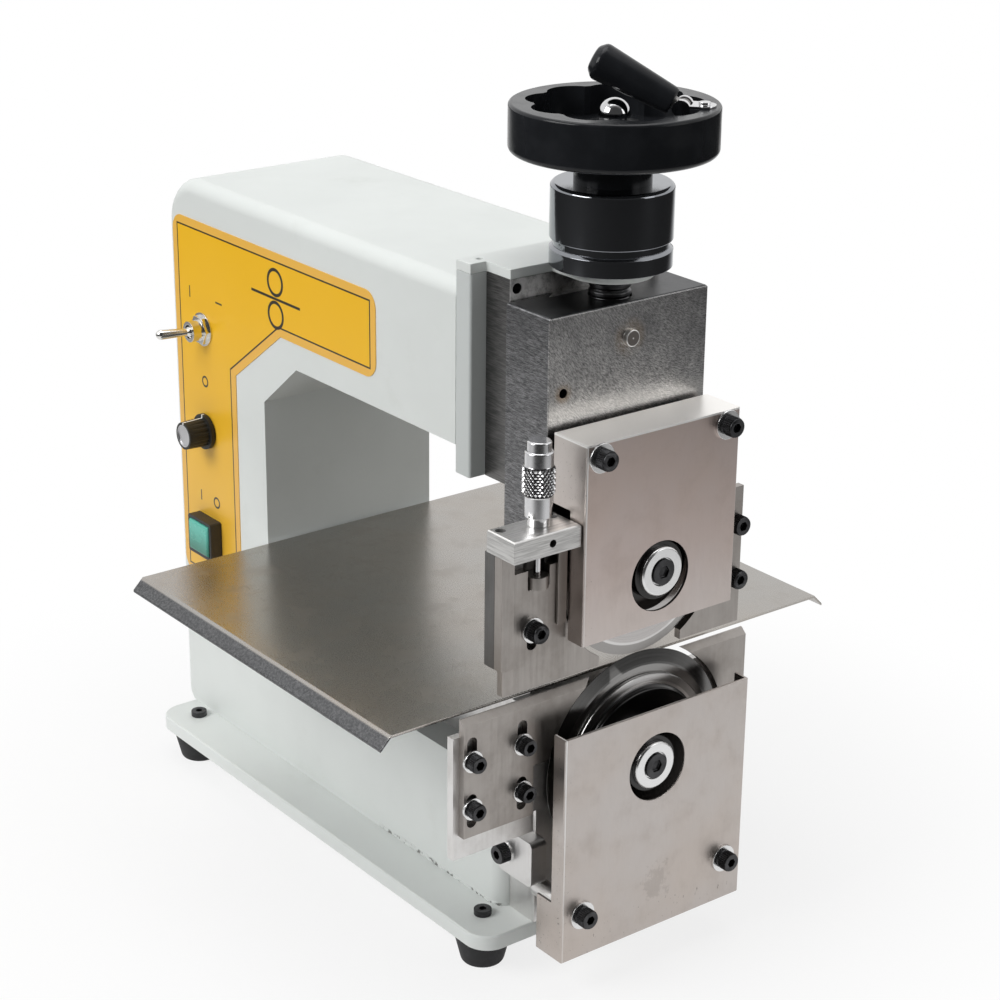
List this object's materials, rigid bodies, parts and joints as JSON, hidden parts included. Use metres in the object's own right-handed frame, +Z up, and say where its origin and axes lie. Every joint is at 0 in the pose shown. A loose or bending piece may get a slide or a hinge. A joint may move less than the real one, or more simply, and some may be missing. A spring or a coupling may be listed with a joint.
{
  "type": "pcb depaneling machine",
  "caption": "Bench machine that parts scored circuit board strips between paired round blades, with a handwheel-set head, guide plates, a work table and a C-shaped housing",
  "frame": {"origin": "centre of the bounding box at floor level, under the rubber feet", "axes": "+Z up, +X from the column towards the blades and the operator, -Y the side with the control label"},
  "size_m": [0.3796, 0.2864, 0.4637],
  "materials": {
    "enamel": "satin pale grey green enamel with a fine orange peel",
    "enamel_dark": "satin grey green enamel, a shade darker",
    "rubber": "matt black moulded rubber",
    "belt_rubber": "matt black ribbed belt",
    "bright_screw": "zinc plated pan heads",
    "bright_washer": "bright plated, turned",
    "black_oxide": "black oxide with worn edges",
    "black_plastic": "moulded black, fine grain",
    "green_plastic": "translucent green with a lamp behind it",
    "label_yellow": "printed yellow film with a black line round it",
    "chrome": "mirror plating",
    "dark_chrome": "dark mirror finish",
    "stainless": "satin stainless sheet, fine blast",
    "steel": "ground steel with fine lines",
    "dark_steel": "hardened and ground, grey",
    "blade_steel": "lapped dark tool steel",
    "aluminium": "milled with cutter marks",
    "motor_paint": "black enamel",
    "bakelite": "polished black phenolic"
  },
  "bodies": {
    "frame": {"base_plate": "enamel", "rubber_feet": "rubber", "housing_screws": "bright_screw", "c_frame": "enamel", "arm_flange": "enamel_dark", "rear_cover": "enamel", "power_inlet": "black_plastic", "control_label": "label_yellow", "toggle_nut": "chrome", "speed_control": "steel", "switch_housing": "black_plastic", "work_table": "stainless", "table_supports": "aluminium", "bearing_block": "aluminium", "lower_bearings": "steel", "front_plate": "aluminium", "guide_backing_plate": "aluminium", "lower_guide_plate": "dark_steel", "side_tab": "dark_steel", "lower_cover": "stainless", "lower_screws": "black_oxide", "lower_washers": "bright_washer", "motor": "motor_paint", "drive_belt": "belt_rubber", "slide_guide": "steel", "top_plate": "enamel", "collar_base": "chrome"},
    "lower_spindle": {"lower_shaft": "steel", "lower_blade": "blade_steel", "lower_hub": "steel", "lower_ring": "bright_washer", "lower_axle_screw": "black_oxide", "driven_pulley": "aluminium"},
    "motor_rotor": {"motor_pulley": "aluminium"},
    "head": {"slider_block": "steel", "upper_bearings": "steel", "guide_carrier": "aluminium", "guide_rails": "dark_steel", "adjust_bracket": "aluminium", "right_guide_plate": "dark_steel", "upper_cover": "stainless", "upper_screws": "black_oxide", "upper_washers": "bright_washer"},
    "upper_spindle": {"upper_shaft": "steel", "upper_blade": "blade_steel", "upper_hub": "steel", "upper_ring": "bright_washer", "upper_axle_screw": "black_oxide"},
    "upper_guide": {"upper_guide_plate": "dark_steel"},
    "adjuster": {"adjust_knob": "chrome"},
    "handwheel_group": {"handwheel": "bakelite", "dome_nut": "chrome", "lead_screw": "steel", "dial_collar": "dark_chrome", "handle_fork": "chrome"},
    "handle": {"handle_stud": "steel"},
    "grip": {"handle_grip": "bakelite"},
    "toggle": {"toggle_lever": "chrome"},
    "speed": {"speed_knob": "black_plastic"},
    "button": {"power_button": "green_plastic"}
  },
  "joints": [
    {"name": "lower_spin", "type": "hinge", "parent": "frame", "child": "lower_spindle", "pos_m": [0.08235, 0, 0.1137], "axis": [1, 0, 0], "continuous": true},
    {"name": "motor_spin", "type": "hinge", "parent": "frame", "child": "motor_rotor", "pos_m": [0.03035, 0, 0.061], "axis": [1, 0, 0], "continuous": true},
    {"name": "handwheel_turn", "type": "hinge", "parent": "frame", "child": "handwheel_group", "pos_m": [0.13585, 0, 0.4], "axis": [0, 0, 1], "range_deg": [-1440, 54]},
    {"name": "head_slide", "type": "slide", "parent": "frame", "child": "head", "axis": [0, 0, 1], "range_m": [-0.00031, 0.0081]},
    {"name": "handle_fold", "type": "hinge", "parent": "handwheel_group", "child": "handle", "pos_m": [0.15998, 0.02025, 0.4365], "axis": [-0.6428, 0.766, 0], "range_deg": [0, 64]},
    {"name": "grip_spin", "type": "hinge", "parent": "handle", "child": "grip", "pos_m": [0.15998, 0.02025, 0.4365], "axis": [-0.6885, -0.5777, 0.4384], "continuous": true},
    {"name": "upper_spin", "type": "hinge", "parent": "head", "child": "upper_spindle", "pos_m": [0.12235, 0, 0.2179], "axis": [1, 0, 0], "continuous": true},
    {"name": "adjuster_turn", "type": "hinge", "parent": "head", "child": "adjuster", "pos_m": [0.16475, -0.0643, 0.26], "axis": [0, 0, 1], "range_deg": [-1445, 1445]},
    {"name": "upper_guide_slide", "type": "slide", "parent": "head", "child": "upper_guide", "axis": [0, 0, 1], "range_m": [-0.002, 0.002]},
    {"name": "toggle_flip", "type": "hinge", "parent": "frame", "child": "toggle", "pos_m": [-0.14865, -0.0639, 0.2665], "axis": [0, 0, 1], "range_deg": [0, 30]},
    {"name": "speed_turn", "type": "hinge", "parent": "frame", "child": "speed", "pos_m": [-0.14865, -0.06, 0.206], "axis": [0, 1, 0], "range_deg": [-140, 140]},
    {"name": "power_push", "type": "slide", "parent": "frame", "child": "button", "axis": [0, 1, 0], "range_m": [0, 0.0023], "stiffness_N_per_m": 500}
  ],
  "couplings": [
    {"joint": "motor_spin", "follows": "lower_spin", "ratio": 1.6923},
    {"joint": "head_slide", "follows": "handwheel_turn", "m_per_rad": -0.00031831},
    {"joint": "adjuster_turn", "follows": "upper_guide_slide", "rad_per_m": 12566}
  ]
}
